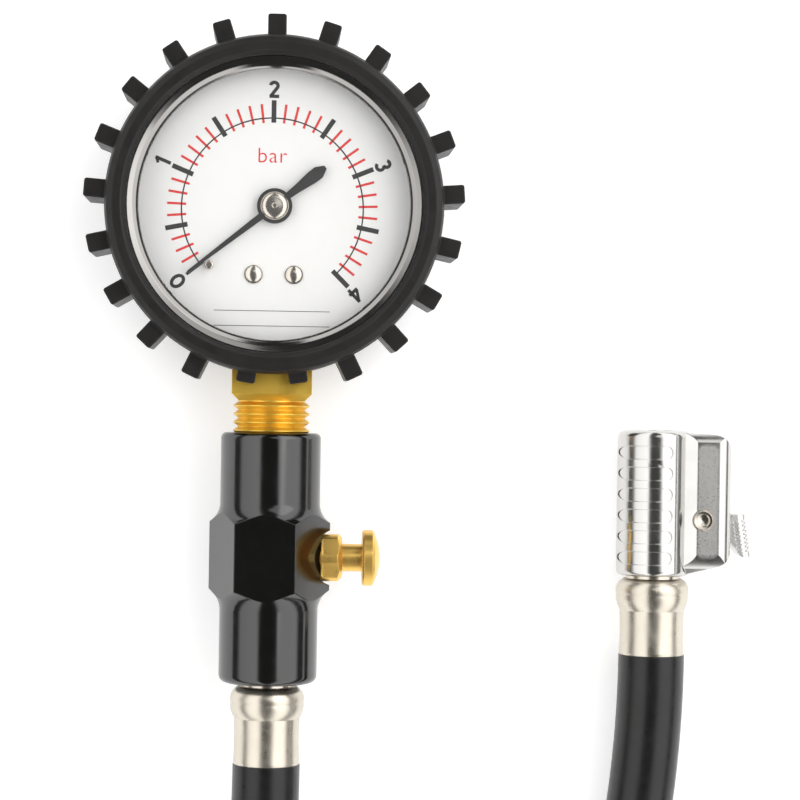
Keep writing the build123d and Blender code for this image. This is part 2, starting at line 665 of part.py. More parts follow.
# ================================================================ chuck
# lever housing blank: a lobe beside the barrel with crowned cheeks, thickest
# along the middle and falling away to the barrel, the outer edge and both ends
X, Z = chuck_x, chuck_z
with BuildPart() as lever_housing:
    with BuildSketch(Plane.XY.offset(Z - 5.6)):
        with BuildLine():
            Polyline((X, chuck_y0 - 0.25), (X + 10.2, chuck_y0 - 0.6))
            ThreePointArc((X + 10.2, chuck_y0 - 0.6), (X + 12.9, chuck_y0 - 1.75), (X + 14.0, chuck_y0 - 4.4))
            Line((X + 14.0, chuck_y0 - 4.4), (X + 14.0, -60.4))
            ThreePointArc((X + 14.0, -60.4), (X + 13.25, -62.75), (X + 11.2, -64.1))
            Polyline((X + 11.2, -64.1), (X + 4.6, -65.75), (X, -65.75), (X, chuck_y0 - 0.25))
        make_face()
    extrude(amount=11.2)
    with BuildSketch(Plane(origin=(X, chuck_y0 + 2.0, Z), x_dir=(1, 0, 0), z_dir=(0, -1, 0))):
        with BuildLine():
            Line((-0.5, 3.9), (3.1, 3.95))
            Line((3.1, 3.95), (7.3, 5.5))
            Line((7.3, 5.5), (11.2, 5.5))
            ThreePointArc((11.2, 5.5), (12.6, 5.10), (13.8, 3.4))
            Line((13.8, 3.4), (14.1, 0))
            Line((14.1, 0), (13.8, -3.4))
            ThreePointArc((13.8, -3.4), (12.6, -5.10), (11.2, -5.5))
            Line((11.2, -5.5), (7.3, -5.5))
            Line((7.3, -5.5), (3.1, -3.95))
            Line((3.1, -3.95), (-0.5, -3.9))
            Line((-0.5, -3.9), (-0.5, 3.9))
        make_face()
    extrude(amount=32.0, mode=Mode.INTERSECT)
    with BuildSketch(Plane(origin=(X - 1.0, 0, Z), x_dir=(0, 1, 0), z_dir=(1, 0, 0))):
        with BuildLine():
            Line((-38.5, 4.3), (-39.2, 4.4))
            ThreePointArc((-39.2, 4.4), (-40.6, 5.338), (-42.0, 5.6))
            Line((-42.0, 5.6), (-60.8, 5.6))
            ThreePointArc((-60.8, 5.6), (-62.6, 5.324), (-64.4, 4.4))
            Line((-64.4, 4.4), (-66.5, 3.3))
            Line((-66.5, 3.3), (-66.5, -3.3))
            Line((-66.5, -3.3), (-64.4, -4.4))
            ThreePointArc((-64.4, -4.4), (-62.6, -5.324), (-60.8, -5.6))
            Line((-60.8, -5.6), (-42.0, -5.6))
            ThreePointArc((-42.0, -5.6), (-40.6, -5.338), (-39.2, -4.4))
            Line((-39.2, -4.4), (-38.5, -4.3))
            Line((-38.5, -4.3), (-38.5, 4.3))
        make_face()
    extrude(amount=18.0, mode=Mode.INTERSECT)

# grip pockets: stadium prisms kept only in a thin shell round the barrel
with BuildPart() as grip_pockets:
    for s_ in (1, -1):
        with BuildSketch(Plane.XY.offset(Z)):
            for i in range(6):
                with Locations((X - 2.1, chuck_y0 - 4.1 - 3.87 * i)):
                    SlotOverall(9.3, 2.4)
        extrude(amount=s_ * 9.0)
    with BuildSketch(Plane(origin=(X, chuck_y0 + 1.0, Z), x_dir=(1, 0, 0), z_dir=(0, -1, 0))):
        Circle(chuck_r - 0.16)
    extrude(amount=30.0, mode=Mode.SUBTRACT)

with BuildPart() as chuck_body:
    with BuildSketch(along_y(X, 0, Z)):
        with BuildLine():
            Polyline((0, chuck_y0), (chuck_r - 1.3, chuck_y0))
            ThreePointArc((chuck_r - 1.3, chuck_y0), (chuck_r - 0.38, chuck_y0 - 0.38), (chuck_r, chuck_y0 - 1.3))
            Line((chuck_r, chuck_y0 - 1.3), (chuck_r, chuck_y1 + 0.9))
            ThreePointArc((chuck_r, chuck_y1 + 0.9), (chuck_r - 0.27, chuck_y1 + 0.27), (chuck_r - 0.9, chuck_y1))
            Polyline((chuck_r - 0.9, chuck_y1), (0, chuck_y1), (0, chuck_y0))
        make_face()
    revolve(axis=Axis((X, 0, Z), (0, 1, 0)))
    # lever housing: two cheeks joined at the top and right
    add(lever_housing.part)
    # parting grooves where the cheeks meet the round barrel
    for s in (1, -1):
        with BuildSketch(Plane.XY.offset(Z + s * 6.1)):
            with Locations((X + 3.25, (chuck_y0 + chuck_y1) / 2)):
                Rectangle(0.22, 27.2)
        extrude(amount=-s * 0.36, mode=Mode.SUBTRACT)
    # grip marks: six shallow stadium pockets over the front and over the back
    add(grip_pockets.part, mode=Mode.SUBTRACT)
    # valve mouth, seal seat and hose socket
    with BuildSketch(Plane(origin=(X, chuck_y0 + 0.01, Z), x_dir=(1, 0, 0), z_dir=(0, -1, 0))):
        Circle(4.4)
    extrude(amount=2.41, mode=Mode.SUBTRACT)
    with BuildSketch(Plane(origin=(X, -41.4, Z), x_dir=(1, 0, 0), z_dir=(0, -1, 0))):
        Circle(4.2)
    extrude(amount=7.2, mode=Mode.SUBTRACT)
    with BuildSketch(Plane(origin=(X, -48.5, Z), x_dir=(1, 0, 0), z_dir=(0, -1, 0))):
        Circle(4.05)
    extrude(amount=17.9, mode=Mode.SUBTRACT)
    # slot for the lever, open to the valve mouth and to the right side below the wall
    with BuildSketch(Plane.XY.offset(Z - 3.2)):
        with BuildLine():
            Polyline((X + 5.4, -40.7), (X + 12.6, -40.7), (X + 12.6, -53.4), (X + 15.0, -53.4),
                     (X + 15.0, -65.0), (X + 11.0, -65.0), (X + 5.4, -61.5), close=True)
        make_face()
        with Locations((X + 4.5, -44.35)):
            Rectangle(3.6, 5.7)
    extrude(amount=6.4, mode=Mode.SUBTRACT)
    # rivet hole through both cheeks
    with BuildSketch(Plane.XY.offset(Z - 7.0)):
        with Locations((lever_pin_x, lever_pin_y)):
            Circle(1.45)
    extrude(amount=14.0, mode=Mode.SUBTRACT)
save(chuck_body, "chuck_body")

with BuildPart() as valve_seal:
    with BuildSketch(along_y(X, 0, Z)):
        with BuildLine():
            Polyline((1.9, -49.5), (3.4, -49.5), (4.0, -50.0), (4.0, -53.6), (1.9, -53.6), close=True)
        make_face()
    revolve(axis=Axis((X, 0, Z), (0, 1, 0)))
save(valve_seal, "valve_seal")

with BuildPart() as core_depressor:
    with BuildSketch(Plane(origin=(X, -54.85, Z), x_dir=(1, 0, 0), z_dir=(0, -1, 0))):
        Circle(4.0)
        with PolarLocations(2.55, 4):
            Circle(0.8, mode=Mode.SUBTRACT)
    extrude(amount=1.0)
    with BuildSketch(Plane(origin=(X, -55.0, Z), x_dir=(1, 0, 0), z_dir=(0, 1, 0))):
        Circle(0.95)
    extrude(amount=6.3)
    fillet(core_depressor.edges().group_by(Axis.Y)[-1], 0.4)
save(core_depressor, "core_depressor")

with BuildPart() as seal_washer:
    with BuildSketch(Plane(origin=(X, -53.7, Z), x_dir=(1, 0, 0), z_dir=(0, -1, 0))):
        Circle(4.0)
        Circle(2.6, mode=Mode.SUBTRACT)
    extrude(amount=1.1)
save(seal_washer, "seal_washer")

with BuildPart() as retainer_ring:
    with BuildSketch(Plane(origin=(X, -55.95, Z), x_dir=(1, 0, 0), z_dir=(0, -1, 0))):
        Circle(4.0)
        Circle(2.9, mode=Mode.SUBTRACT)
    extrude(amount=1.3)
save(retainer_ring, "retainer_ring")

# thumb pad: rounded block leaning outwards, cross grooves over its outer face
lean = radians(8.6)
pad_x, pad_z = (cos(lean), sin(lean), 0), (sin(lean), -cos(lean), 0)
with BuildPart() as pad_grooves:
    for k in range(8):
        dk = 1.3 + 0.78 * k
        with BuildSketch(Plane(origin=(X + 17.02 + dk * sin(lean), -54.0 - dk * cos(lean), Z), x_dir=pad_x, z_dir=pad_z)):
            with Locations((-0.9, 0)):
                Rectangle(3.8, 8.0)
            with Locations((-3.45, 0)):
                RectangleRounded(6.0, 5.1, 1.5, mode=Mode.SUBTRACT)
        extrude(amount=0.4)

with BuildPart() as thumb_pad:
    with BuildSketch(Plane.XY.offset(Z - 3.2)):
        with BuildLine():
            Polyline((X + 13.9, -54.9), (X + 14.4, -54.45), (X + 16.3, -54.3), (X + 17.0, -54.7), (X + 17.6, -57.0),
                     (X + 18.3, -61.6), (X + 17.9, -62.15), (X + 17.3, -62.4), (X + 16.4, -62.35), (X + 15.7, -62.0),
                     (X + 13.9, -59.1), close=True)
        make_face()
    extrude(amount=6.4)
    with BuildSketch(Plane(origin=(X + 17.02, -54.0, Z), x_dir=pad_x, z_dir=pad_z)):
        with Locations((-3.0, 0)):
            RectangleRounded(6.0, 6.0, 1.9)
    extrude(amount=14.0, mode=Mode.INTERSECT)
    add(pad_grooves.part, mode=Mode.SUBTRACT)

# lever: claw arm upwards, boss on the rivet, neck and thumb pad to the right
with BuildPart() as thumb_lever:
    with BuildSketch(Plane.XY.offset(Z - 3.0)):
        with BuildLine():
            Polyline((X + 6.2, -53.6), (X + 6.2, -46.0), (X + 3.75, -46.0), (X + 3.75, -42.9), (X + 4.6, -42.2),
                     (X + 8.3, -42.2), (X + 8.9, -43.0), (X + 9.3, -52.0), (X + 11.4, -53.7), (X + 13.4, -55.2),
                     (X + 14.4, -56.0), (X + 14.4, -59.2), (X + 12.2, -59.4), (X + 9.0, -58.3), (X + 6.6, -57.0),
                     close=True)
        make_face()
    extrude(amount=6.0)
    add(thumb_pad.part)
    with BuildSketch(Plane.XY.offset(Z - 4.0)):
        with Locations((lever_pin_x, lever_pin_y)):
            Circle(1.45)
    extrude(amount=8.0, mode=Mode.SUBTRACT)
save(thumb_lever, "thumb_lever")

with BuildPart() as lever_rivet:
    # tubular rivet with dished ends, fixed in the cheeks
    with BuildSketch(Plane(origin=(lever_pin_x, lever_pin_y, 0), x_dir=(1, 0, 0), z_dir=(0, -1, 0))):
        with BuildLine():
            zt, zb = Z + 5.5, Z - 5.5
            Polyline((0, zb + 0.5), (1.1, zb + 0.3), (1.2, zb - 0.3), (1.7, zb - 0.36), (2.0, zb - 0.02), (1.41, zb - 0.02),
                     (1.41, zt + 0.02), (2.0, zt + 0.02), (1.7, zt + 0.36), (1.2, zt + 0.3), (1.1, zt - 0.3),
                     (0, zt - 0.5), close=True)
        make_face()
    revolve(axis=Axis((lever_pin_x, lever_pin_y, 0), (0, 0, 1)))
save(lever_rivet, "lever_rivet")

with BuildPart() as lever_spring:
    pth, sec = coil((X + 9.35, -46.2, Z), (1, 0, 0), 3.0, 1.5, 0.2, 4)
    with BuildSketch(sec):
        Circle(0.2)
    sweep(path=pth, is_frenet=True)
save(lever_spring, "lever_spring")

for label, shape in made:
    bb = shape.bounding_box()
    print("%-22s solids %d vol %9.1f  x %7.2f %7.2f y %8.2f %8.2f z %6.2f %6.2f" % (
        label, len(shape.solids()), shape.volume, bb.min.X, bb.max.X, bb.min.Y, bb.max.Y, bb.min.Z, bb.max.Z))
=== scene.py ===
import bpy, bmesh, math
from math import sin, cos, pi, radians
from mathutils import Vector, Matrix


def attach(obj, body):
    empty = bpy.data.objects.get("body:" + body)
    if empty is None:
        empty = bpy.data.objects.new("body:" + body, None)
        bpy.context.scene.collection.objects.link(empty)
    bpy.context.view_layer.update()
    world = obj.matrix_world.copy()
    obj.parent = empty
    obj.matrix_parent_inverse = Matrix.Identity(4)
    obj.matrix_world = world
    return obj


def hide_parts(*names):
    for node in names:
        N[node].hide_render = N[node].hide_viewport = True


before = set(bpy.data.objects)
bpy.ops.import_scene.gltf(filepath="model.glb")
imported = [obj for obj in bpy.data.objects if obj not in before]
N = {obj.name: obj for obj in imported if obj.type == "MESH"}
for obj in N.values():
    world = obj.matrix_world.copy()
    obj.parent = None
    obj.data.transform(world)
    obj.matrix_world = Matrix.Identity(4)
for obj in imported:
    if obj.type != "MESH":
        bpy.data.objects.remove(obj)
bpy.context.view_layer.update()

MM = 0.001

scene = bpy.context.scene
scene.view_settings.view_transform = "Standard"

# ------------------------------------------------------------------ camera
cam_data = bpy.data.cameras.new("camera")
cam_data.sensor_width = 36.0
cam_data.lens = 114.95
cam_data.clip_start = 0.01
cam_data.clip_end = 20.0
cam = bpy.data.objects.new("camera", cam_data)
# square above the gauge head, turned a little towards the chuck and rolled under a degree
cam.matrix_world = (Matrix.Translation((0.0, -0.03425, 0.477)) @ Matrix.Rotation(radians(-2.875), 4, "Y")
                    @ Matrix.Rotation(radians(0.88), 4, "Z"))
scene.collection.objects.link(cam)
scene.camera = cam


def link(ob):
    scene.collection.objects.link(ob)
    return ob


# ------------------------------------------------------------------ material helpers
def new_mat(name):
    m = bpy.data.materials.new(name)
    m.use_nodes = True
    nt = m.node_tree
    for n in list(nt.nodes):
        nt.nodes.remove(n)
    out = nt.nodes.new("ShaderNodeOutputMaterial")
    bsdf = nt.nodes.new("ShaderNodeBsdfPrincipled")
    nt.links.new(bsdf.outputs[0], out.inputs[0])
    return m, nt, bsdf


def node(nt, kind, **vals):
    n = nt.nodes.new(kind)
    for k, v in vals.items():
        if k.startswith("i_"):
            key = k[2:]
            key = int(key) if key.isdigit() else key.replace("_", " ")
            n.inputs[key].default_value = v
        else:
            setattr(n, k, v)
    return n


def coords(nt, scale=(1, 1, 1), loc=(0, 0, 0)):
    tc = nt.nodes.new("ShaderNodeTexCoord")
    mp = nt.nodes.new("ShaderNodeMapping")
    mp.inputs["Scale"].default_value = scale
    mp.inputs["Location"].default_value = loc
    nt.links.new(tc.outputs["Object"], mp.inputs["Vector"])
    return mp.outputs["Vector"]


def noise(nt, vec, scale, detail=4.0, rough=0.55, dist=0.0):
    n = nt.nodes.new("ShaderNodeTexNoise")
    n.inputs["Scale"].default_value = scale
    n.inputs["Detail"].default_value = detail
    n.inputs["Roughness"].default_value = rough
    n.inputs["Distortion"].default_value = dist
    nt.links.new(vec, n.inputs["Vector"])
    return n.outputs["Fac"]


def ramp(nt, fac, stops):
    r = nt.nodes.new("ShaderNodeValToRGB")
    el = r.color_ramp.elements
    while len(el) < len(stops):
        el.new(0.5)
    for e, (p, c) in zip(el, stops):
        e.position = p
        e.color = (*c, 1.0) if len(c) == 3 else c
    nt.links.new(fac, r.inputs["Fac"])
    return r.outputs["Color"]


def remap(nt, fac, a, b, lo, hi):
    m = nt.nodes.new("ShaderNodeMapRange")
    m.inputs["From Min"].default_value = a
    m.inputs["From Max"].default_value = b
    m.inputs["To Min"].default_value = lo
    m.inputs["To Max"].default_value = hi
    nt.links.new(fac, m.inputs["Value"])
    return m.outputs["Result"]


def add_bump(nt, bsdf, height, strength, distance, prev=None):
    b = nt.nodes.new("ShaderNodeBump")
    b.inputs["Strength"].default_value = strength
    b.inputs["Distance"].default_value = distance
    nt.links.new(height, b.inputs["Height"])
    if prev is not None:
        nt.links.new(prev, b.inputs["Normal"])
    nt.links.new(b.outputs["Normal"], bsdf.inputs["Normal"])
    return b.outputs["Normal"]


def soft_edge(nt, radius):
    b = nt.nodes.new("ShaderNodeBevel")
    b.samples = 6
    b.inputs["Radius"].default_value = radius
    return b.outputs["Normal"]


def edge_mask(nt, radius, lo=0.86, hi=0.995):
    """1 along convex edges and 0 on the flats."""
    geo = nt.nodes.new("ShaderNodeNewGeometry")
    bv = nt.nodes.new("ShaderNodeBevel")
    bv.samples = 4
    bv.inputs["Radius"].default_value = radius
    d = nt.nodes.new("ShaderNodeVectorMath")
    d.operation = "DOT_PRODUCT"
    nt.links.new(geo.outputs["Normal"], d.inputs[0])
    nt.links.new(bv.outputs["Normal"], d.inputs[1])
    m = nt.nodes.new("ShaderNodeMapRange")
    m.inputs["From Min"].default_value = lo
    m.inputs["From Max"].default_value = hi
    m.inputs["To Min"].default_value = 1.0
    m.inputs["To Max"].default_value = 0.0
    nt.links.new(d.outputs["Value"], m.inputs["Value"])
    return m.outputs["Result"]


def mix_col(nt, fac, a, b):
    m = nt.nodes.new("ShaderNodeMix")
    m.data_type = "RGBA"
    nt.links.new(fac, m.inputs["Factor"])
    for sock, v in ((m.inputs[6], a), (m.inputs[7], b)):
        if isinstance(v, tuple):
            sock.default_value = (*v, 1.0) if len(v) == 3 else v
        else:
            nt.links.new(v, sock)
    return m.outputs[2]


def rubber(name, base, lift, rough=(0.45, 0.62), grain=2600.0, bump=0.25, edge=0.0004, spec=0.42):
    m, nt, b = new_mat(name)
    v = coords(nt)
    n1 = noise(nt, v, 160.0, 5.0, 0.6)
    col = mix_col(nt, n1, base, lift)
    em = edge_mask(nt, edge)
    wear = nt.nodes.new("ShaderNodeMath"); wear.operation = "MULTIPLY"
    nt.links.new(em, wear.inputs[0]); nt.links.new(n1, wear.inputs[1])
    col = mix_col(nt, wear.outputs[0], col, tuple(min(1.0, c * 2.2 + 0.02) for c in lift))
    nt.links.new(col, b.inputs["Base Color"])
    nt.links.new(remap(nt, noise(nt, v, 420.0, 4.0), 0.3, 0.7, *rough), b.inputs["Roughness"])
    b.inputs["Specular IOR Level"].default_value = spec
    p = soft_edge(nt, edge)
    h = noise(nt, v, grain, 3.0, 0.6)
    add_bump(nt, b, h, bump, 0.00004, p)
    return m


def metal(name, base, tint, rough=(0.12, 0.22), turn=None, bump=0.15, grain=3000.0, edge=0.00012, scuff=0.0,
          metallic=1.0):
    """Plated or turned metal. turn = (axis letter, pitch scale) draws fine lathe lines across that axis."""
    m, nt, b = new_mat(name)
    v = coords(nt)
    n1 = noise(nt, v, 90.0, 5.0, 0.6)
    col = mix_col(nt, n1, base, tint)
    nt.links.new(col, b.inputs["Base Color"])
    b.inputs["Metallic"].default_value = metallic
    rg = remap(nt, noise(nt, v, 260.0, 5.0, 0.65), 0.32, 0.68, *rough)
    nt.links.new(rg, b.inputs["Roughness"])
    p = soft_edge(nt, edge)
    if turn:
        sc = {"x": (turn[1], 1, 1), "y": (1, turn[1], 1), "z": (1, 1, turn[1])}[turn[0]]
        vt = coords(nt, scale=tuple(s * (1.0 if s != 1 else 0.0) + (0.004 if s == 1 else 0.0) for s in sc))
        ht = noise(nt, vt, 1.0, 2.0, 0.5)
        p = add_bump(nt, b, ht, bump, 0.00002, p)
    h = noise(nt, v, grain, 2.0, 0.5)
    add_bump(nt, b, h, bump * 0.5, 0.00001, p)
    return m


def gloss(name, base, lift, rough=(0.1, 0.18), coat=0.0, bump=0.05, edge=0.0002, grain=900.0, ior=1.5):
    m, nt, b = new_mat(name)
    v = coords(nt)
    n1 = noise(nt, v, 120.0, 5.0, 0.6)
    nt.links.new(mix_col(nt, n1, base, lift), b.inputs["Base Color"])
    nt.links.new(remap(nt, noise(nt, v, 300.0, 5.0, 0.6), 0.3, 0.7, *rough), b.inputs["Roughness"])
    b.inputs["Coat Weight"].default_value = coat
    b.inputs["Coat Roughness"].default_value = 0.05
    b.inputs["IOR"].default_value = ior
    p = soft_edge(nt, edge)
    add_bump(nt, b, noise(nt, v, grain, 3.0, 0.5), bump, 0.00002, p)
    return m


M = {}
M["boot"] = rubber("boot_rubber", (0.0070, 0.0062, 0.0058), (0.0115, 0.0102, 0.0096), (0.34, 0.5), 2400.0, 0.3, 0.00045,
                   spec=0.3)
M["seal"] = rubber("seal_rubber", (0.02, 0.02, 0.02), (0.035, 0.035, 0.035))
M["case"] = gloss("case_enamel", (0.012, 0.012, 0.012), (0.02, 0.02, 0.02), (0.25, 0.4))
M["bezel"] = metal("bezel_black_chrome", (0.26, 0.25, 0.24), (0.31, 0.30, 0.29), (0.07, 0.13), None, 0.03, 1200.0, 0.0002)
M["pointer"] = gloss("pointer_enamel", (0.008, 0.008, 0.008), (0.014, 0.014, 0.014), (0.3, 0.42), 0.0, 0.1, 0.0001)
M["nickel"] = metal("nickel_plate", (0.56, 0.51, 0.44), (0.64, 0.59, 0.52), (0.16, 0.26))
M["brass"] = metal("brass_turned", (0.80, 0.50, 0.065), (0.88, 0.59, 0.11), (0.3, 0.42), ("y", 6000.0), 0.2, metallic=0.85)
M["brass_x"] = metal("brass_turned_button", (0.84, 0.51, 0.11), (0.92, 0.61, 0.17), (0.26, 0.36), None, 0.04,
                     metallic=0.9)
M["bronze"] = metal("phosphor_bronze", (0.66, 0.40, 0.18), (0.74, 0.50, 0.26), (0.2, 0.34))
M["steel"] = metal("steel", (0.5, 0.5, 0.5), (0.6, 0.6, 0.6), (0.2, 0.34))
M["body"] = gloss("anodised_black", (0.0018, 0.0017, 0.0015), (0.0036, 0.0034, 0.003), (0.1, 0.17), 0.0, 0.06, 0.0003,
                  2400.0, 1.75)
M["ferrule"] = metal("ferrule_nickel", (0.58, 0.53, 0.45), (0.66, 0.61, 0.52), (0.24, 0.36), ("y", 5000.0), 0.2)
M["chuck"] = metal("chuck_chrome", (0.54, 0.53, 0.51), (0.61, 0.60, 0.58), (0.14, 0.21), None, 0.08, 1200.0, 0.00022)
M["lever"] = metal("lever_satin_chrome", (0.66, 0.65, 0.63), (0.75, 0.74, 0.72), (0.2, 0.32), None, 0.3, 1500.0, 0.0002,
                   metallic=0.85)
M["hose"] = rubber("hose_rubber", (0.004, 0.004, 0.004), (0.007, 0.007, 0.007), (0.26, 0.36), 3000.0, 0.14, 0.0004, spec=0.42)

# the cheeks' flat is grained: rougher than the polished rest of the chuck
nt = M["chuck"].node_tree
bs = next(n for n in nt.nodes if n.type == "BSDF_PRINCIPLED")
old = bs.inputs["Roughness"].links[0].from_socket
tco = nt.nodes.new("ShaderNodeTexCoord")


def vmath(op, a, b=None):
    n = nt.nodes.new("ShaderNodeVectorMath")
    n.operation = op
    nt.links.new(a, n.inputs[0])
    if b is not None:
        n.inputs[1].default_value = b
    return n.outputs["Value" if op == "LENGTH" else "Vector"]


# rounded rectangle down the middle of the cheek
vv = vmath("SUBTRACT", tco.outputs["Object"], (0.0709 + 0.00925, -0.0521, 0.0))
vv = vmath("MULTIPLY", vv, (1.0, 1.0, 0.0))
vv = vmath("ABSOLUTE", vv)
vv = vmath("SUBTRACT", vv, (0.00075, 0.0092, 0.0))
vv = vmath("MAXIMUM", vv, (0.0, 0.0, 0.0))
msk = remap(nt, vmath("LENGTH", vv), 0.0008, 0.0015, 1.0, 0.0)
mixr = nt.nodes.new("ShaderNodeMix"); mixr.data_type = "FLOAT"
nt.links.new(msk, mixr.inputs["Factor"])
nt.links.new(old, mixr.inputs[2])
nt.links.new(remap(nt, noise(nt, tco.outputs["Object"], 5000.0, 2.0), 0.3, 0.7, 0.25, 0.42), mixr.inputs[3])
nt.links.new(mixr.outputs[0], bs.inputs["Roughness"])

# white printed dial
m, nt, b = new_mat("dial_white")
v = coords(nt)
nt.links.new(mix_col(nt, noise(nt, v, 400.0, 4.0), (0.69, 0.685, 0.67), (0.73, 0.725, 0.71)), b.inputs["Base Color"])
nt.links.new(remap(nt, noise(nt, v, 900.0, 3.0), 0.3, 0.7, 0.38, 0.5), b.inputs["Roughness"])
add_bump(nt, b, noise(nt, v, 5000.0, 2.0), 0.06, 0.00001)
M["dial"] = m

# clear lens: lets light through, with faint gloss
m, nt, b = new_mat("lens_clear")
v = coords(nt)
nt.links.new(mix_col(nt, noise(nt, v, 60.0), (0.93, 0.95, 0.95), (0.96, 0.97, 0.97)), b.inputs["Base Color"])
nt.links.new(remap(nt, noise(nt, v, 200.0, 4.0), 0.3, 0.7, 0.02, 0.05), b.inputs["Roughness"])
b.inputs["Alpha"].default_value = 0.015
b.inputs["IOR"].default_value = 1.49
add_bump(nt, b, noise(nt, v, 300.0, 2.0), 0.02, 0.00001)
M["lens"] = m


def ink(name, base, lift):
    m, nt, b = new_mat(name)
    v = coords(nt)
    nt.links.new(mix_col(nt, noise(nt, v, 1500.0, 3.0), base, lift), b.inputs["Base Color"])
    nt.links.new(remap(nt, noise(nt, v, 2500.0, 3.0), 0.3, 0.7, 0.4, 0.55), b.inputs["Roughness"])
    add_bump(nt, b, noise(nt, v, 6000.0, 2.0), 0.05, 0.00001)
    return m


M["ink_black"] = ink("print_black", (0.006, 0.006, 0.006), (0.012, 0.012, 0.012))
M["ink_red"] = ink("print_red", (0.55, 0.012, 0.012), (0.62, 0.02, 0.02))
M["ink_grey"] = ink("print_grey", (0.10, 0.10, 0.10), (0.14, 0.14, 0.14))

assign = {
    "rubber_boot": "boot", "gauge_case": "case", "bezel": "bezel", "lens": "lens", "lens_gasket": "seal", "dial": "dial",
    "dial_screws": "nickel", "pointer_stop_pin": "nickel", "pointer": "pointer", "pointer_cap": "nickel",
    "pinion_shaft": "brass", "sector_gear": "brass", "sector_shaft": "steel", "movement_back_plate": "brass",
    "movement_front_plate": "brass", "movement_screws": "steel", "movement_pillars": "brass", "dial_spacers": "brass",
    "hairspring": "bronze", "spring_collet": "brass", "hairspring_stud": "brass", "bourdon_tube": "bronze",
    "tube_tip": "brass", "link": "brass", "link_pin": "steel", "gauge_stem": "brass", "stem_seal": "seal",
    "valve_body": "body", "bleed_valve_body": "brass_x", "bleed_button": "brass_x", "bleed_o_ring": "seal",
    "bleed_spring": "steel", "hose_fitting_gauge": "nickel", "hose_fitting_chuck": "nickel", "ferrule_gauge": "ferrule",
    "ferrule_chuck": "ferrule", "hose": "hose", "chuck_body": "chuck", "valve_seal": "seal", "core_depressor": "brass",
    "seal_washer": "brass", "retainer_ring": "steel", "thumb_lever": "lever", "lever_rivet": "nickel",
    "lever_spring": "steel"}
for n, k in assign.items():
    ob = N[n]
    ob.data.materials.clear()
    ob.data.materials.append(M[k])

# ------------------------------------------------------------------ hose
route = [(0.0, -100.5, 13.5), (0.0, -128.5, 13.5), (-10.7, -159.6, 8.8), (-45.9, -201.8, 6.15),
         (-49.3, -256.7, 6.15), (-15.4, -300.0, 6.15), (39.1, -307.6, 6.15), (83.6, -275.3, 6.15),
         (95.0, -221.5, 6.15), (76.2, -169.8, 6.15), (67.3, -122.0, 6.5), (70.9, -94.6, 6.8),
         (70.9, -80.6, 6.8)]
cu = bpy.data.curves.new("hose_line", "CURVE")
cu.dimensions = "3D"
sp = cu.splines.new("NURBS")
sp.points.add(len(route) - 1)
for p, r in zip(sp.points, route):
    p.co = (r[0] * MM, r[1] * MM, r[2] * MM, 1.0)
sp.order_u = 3
sp.use_endpoint_u = True
cu.resolution_u = 24
cu.bevel_depth = 0.0061
cu.bevel_resolution = 12
cu.use_fill_caps = True
hose = link(bpy.data.objects.new("hose_rubber_line", cu))
hose.data.materials.append(M["hose"])
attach(hose, "root")
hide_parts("hose")


# ------------------------------------------------------------------ dial print
def prism(name, outlines, z0, z1, mat, body="root"):
    """Thin flat pieces with the given outlines (mm, in the dial's plane)."""
    bm = bmesh.new()
    for pts in outlines:
        top = [bm.verts.new((x * MM, y * MM, z1 * MM)) for x, y in pts]
        bot = [bm.verts.new((x * MM, y * MM, z0 * MM)) for x, y in pts]
        n = len(pts)
        bm.faces.new(top)
        bm.faces.new(bot[::-1])
        for i in range(n):
            j = (i + 1) % n
            bm.faces.new((top[i], bot[i], bot[j], top[j]))
    bmesh.ops.recalc_face_normals(bm, faces=bm.faces)
    me = bpy.data.meshes.new(name)
    bm.to_mesh(me)
    bm.free()
    ob = link(bpy.data.objects.new(name, me))
    ob.data.materials.append(mat)
    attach(ob, body)
    return ob


PC = (-0.38, -0.45)      # the print sits a little off the hub
ZP0, ZP1 = 19.995, 20.03


def polar(r, deg):
    """deg is clockwise from the top."""
    a = radians(90.0 - deg)
    return (PC[0] + r * cos(a), PC[1] + r * sin(a))


def tick(deg, r0, r1, w):
    a = radians(90.0 - deg)
    u = (cos(a), sin(a))
    t = (-sin(a) * w / 2, cos(a) * w / 2)
    p0, p1 = polar(r0, deg), polar(r1, deg)
    return [(p0[0] + t[0], p0[1] + t[1]), (p0[0] - t[0], p0[1] - t[1]), (p1[0] - t[0], p1[1] - t[1]),
            (p1[0] + t[0], p1[1] + t[1])]


major, minor = [], []
for k in range(0, 41):
    deg = -135.0 + 6.75 * k
    if k == 0:
        continue
    if k == 1:
        major.append(tick(deg, 15.5, 19.3, 0.55))
    elif k % 5 == 0:
        major.append(tick(deg, 15.4, 19.4, 0.86))
    else:
        minor.append(tick(deg, 15.4, 18.8, 0.44))
prism("dial_major_marks", major, ZP0, ZP1, M["ink_black"])
prism("dial_minor_marks", minor, ZP0, ZP1 - 0.01, M["ink_red"])
arc = []
for k in range(0, 132):
    d0 = -128.25 + (263.25) * k / 132
    d1 = -128.25 + (263.25) * (k + 1) / 132
    a, b_, c, d = polar(16.1, d0), polar(16.1, d1), polar(16.35, d1), polar(16.35, d0)
    arc.append([a, d, c, b_])
prism("dial_scale_line", arc, ZP0, ZP1 - 0.005, M["ink_black"])


